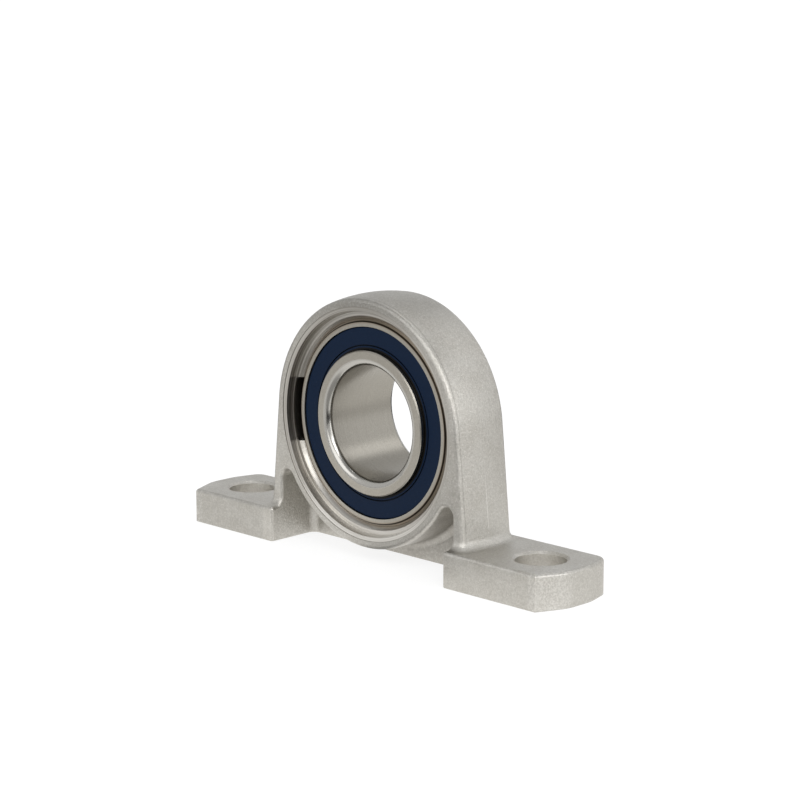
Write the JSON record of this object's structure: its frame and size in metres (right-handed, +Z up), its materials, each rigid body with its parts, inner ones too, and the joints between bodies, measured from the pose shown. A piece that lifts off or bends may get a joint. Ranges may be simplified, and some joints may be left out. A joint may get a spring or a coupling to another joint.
{
  "type": "pillow block bearing",
  "caption": "Cast housing with a bolt foot at each end, holding a self-aligning sealed ball bearing insert whose wide inner ring is locked to a shaft by set screws.",
  "frame": {"origin": "on the mounting face, midway between the two bolt holes, under the bearing", "axes": "+X along the base through the bolt holes, +Y along the shaft towards the wide side of the inner ring with its set screws, +Z up from the mounting face to the bearing"},
  "size_m": [0.132, 0.0298, 0.0693],
  "materials": {
    "cast_steel": "bead-blasted cast stainless steel, fine even grain",
    "ring_steel": "ground and polished bearing steel",
    "seal_rubber": "smooth dark blue nitrile rubber",
    "plate_steel": "plain rolled sheet steel",
    "cage_steel": "pressed sheet steel, tumbled",
    "ball_steel": "lapped mirror-bright steel",
    "screw_steel": "plain turned steel, faintly oily"
  },
  "bodies": {
    "housing": {"housing": "cast_steel"},
    "insert": {"outer_ring": "ring_steel", "seal_front": "seal_rubber", "seal_back": "seal_rubber", "seal_plate_front": "plate_steel", "seal_plate_back": "plate_steel"},
    "shaft_sleeve": {"inner_ring": "ring_steel", "set_screws": "screw_steel"},
    "cage": {"cage_front": "cage_steel", "cage_back": "cage_steel", "cage_rivets": "cage_steel"},
    "ball_01": {"ball_01": "ball_steel"},
    "ball_02": {"ball_02": "ball_steel"},
    "ball_03": {"ball_03": "ball_steel"},
    "ball_04": {"ball_04": "ball_steel"},
    "ball_05": {"ball_05": "ball_steel"},
    "ball_06": {"ball_06": "ball_steel"},
    "ball_07": {"ball_07": "ball_steel"},
    "ball_08": {"ball_08": "ball_steel"},
    "ball_09": {"ball_09": "ball_steel"},
    "ball_10": {"ball_10": "ball_steel"},
    "ball_11": {"ball_11": "ball_steel"}
  },
  "joints": [
    {"name": "insert_align", "type": "hinge", "parent": "housing", "child": "insert", "pos_m": [0, 0, 0.036], "axis": [1, 0, 0], "range_deg": [-3, 3]},
    {"name": "shaft_spin", "type": "hinge", "parent": "insert", "child": "shaft_sleeve", "pos_m": [0, 0, 0.036], "axis": [0, 1, 0], "continuous": true},
    {"name": "cage_spin", "type": "hinge", "parent": "insert", "child": "cage", "pos_m": [0, 0, 0.036], "axis": [0, 1, 0], "continuous": true},
    {"name": "ball_01_spin", "type": "hinge", "parent": "cage", "child": "ball_01", "pos_m": [0, 0, 0.05725], "axis": [0, 1, 0], "continuous": true},
    {"name": "ball_02_spin", "type": "hinge", "parent": "cage", "child": "ball_02", "pos_m": [0.01149, 0, 0.05388], "axis": [0, 1, 0], "continuous": true},
    {"name": "ball_03_spin", "type": "hinge", "parent": "cage", "child": "ball_03", "pos_m": [0.01933, 0, 0.04483], "axis": [0, 1, 0], "continuous": true},
    {"name": "ball_04_spin", "type": "hinge", "parent": "cage", "child": "ball_04", "pos_m": [0.02103, 0, 0.03298], "axis": [0, 1, 0], "continuous": true},
    {"name": "ball_05_spin", "type": "hinge", "parent": "cage", "child": "ball_05", "pos_m": [0.01606, 0, 0.02208], "axis": [0, 1, 0], "continuous": true},
    {"name": "ball_06_spin", "type": "hinge", "parent": "cage", "child": "ball_06", "pos_m": [0.00599, 0, 0.01561], "axis": [0, 1, 0], "continuous": true},
    {"name": "ball_07_spin", "type": "hinge", "parent": "cage", "child": "ball_07", "pos_m": [-0.00599, 0, 0.01561], "axis": [0, 1, 0], "continuous": true},
    {"name": "ball_08_spin", "type": "hinge", "parent": "cage", "child": "ball_08", "pos_m": [-0.01606, 0, 0.02208], "axis": [0, 1, 0], "continuous": true},
    {"name": "ball_09_spin", "type": "hinge", "parent": "cage", "child": "ball_09", "pos_m": [-0.02103, 0, 0.03298], "axis": [0, 1, 0], "continuous": true},
    {"name": "ball_10_spin", "type": "hinge", "parent": "cage", "child": "ball_10", "pos_m": [-0.01933, 0, 0.04483], "axis": [0, 1, 0], "continuous": true},
    {"name": "ball_11_spin", "type": "hinge", "parent": "cage", "child": "ball_11", "pos_m": [-0.01149, 0, 0.05388], "axis": [0, 1, 0], "continuous": true}
  ],
  "couplings": [
    {"joint": "cage_spin", "follows": "shaft_spin", "ratio": 0.41595},
    {"joint": "ball_01_spin", "follows": "shaft_spin", "ratio": -2.8905},
    {"joint": "ball_02_spin", "follows": "shaft_spin", "ratio": -2.8905},
    {"joint": "ball_03_spin", "follows": "shaft_spin", "ratio": -2.8905},
    {"joint": "ball_04_spin", "follows": "shaft_spin", "ratio": -2.8905},
    {"joint": "ball_05_spin", "follows": "shaft_spin", "ratio": -2.8905},
    {"joint": "ball_06_spin", "follows": "shaft_spin", "ratio": -2.8905},
    {"joint": "ball_07_spin", "follows": "shaft_spin", "ratio": -2.8905},
    {"joint": "ball_08_spin", "follows": "shaft_spin", "ratio": -2.8905},
    {"joint": "ball_09_spin", "follows": "shaft_spin", "ratio": -2.8905},
    {"joint": "ball_10_spin", "follows": "shaft_spin", "ratio": -2.8905},
    {"joint": "ball_11_spin", "follows": "shaft_spin", "ratio": -2.8905}
  ]
}
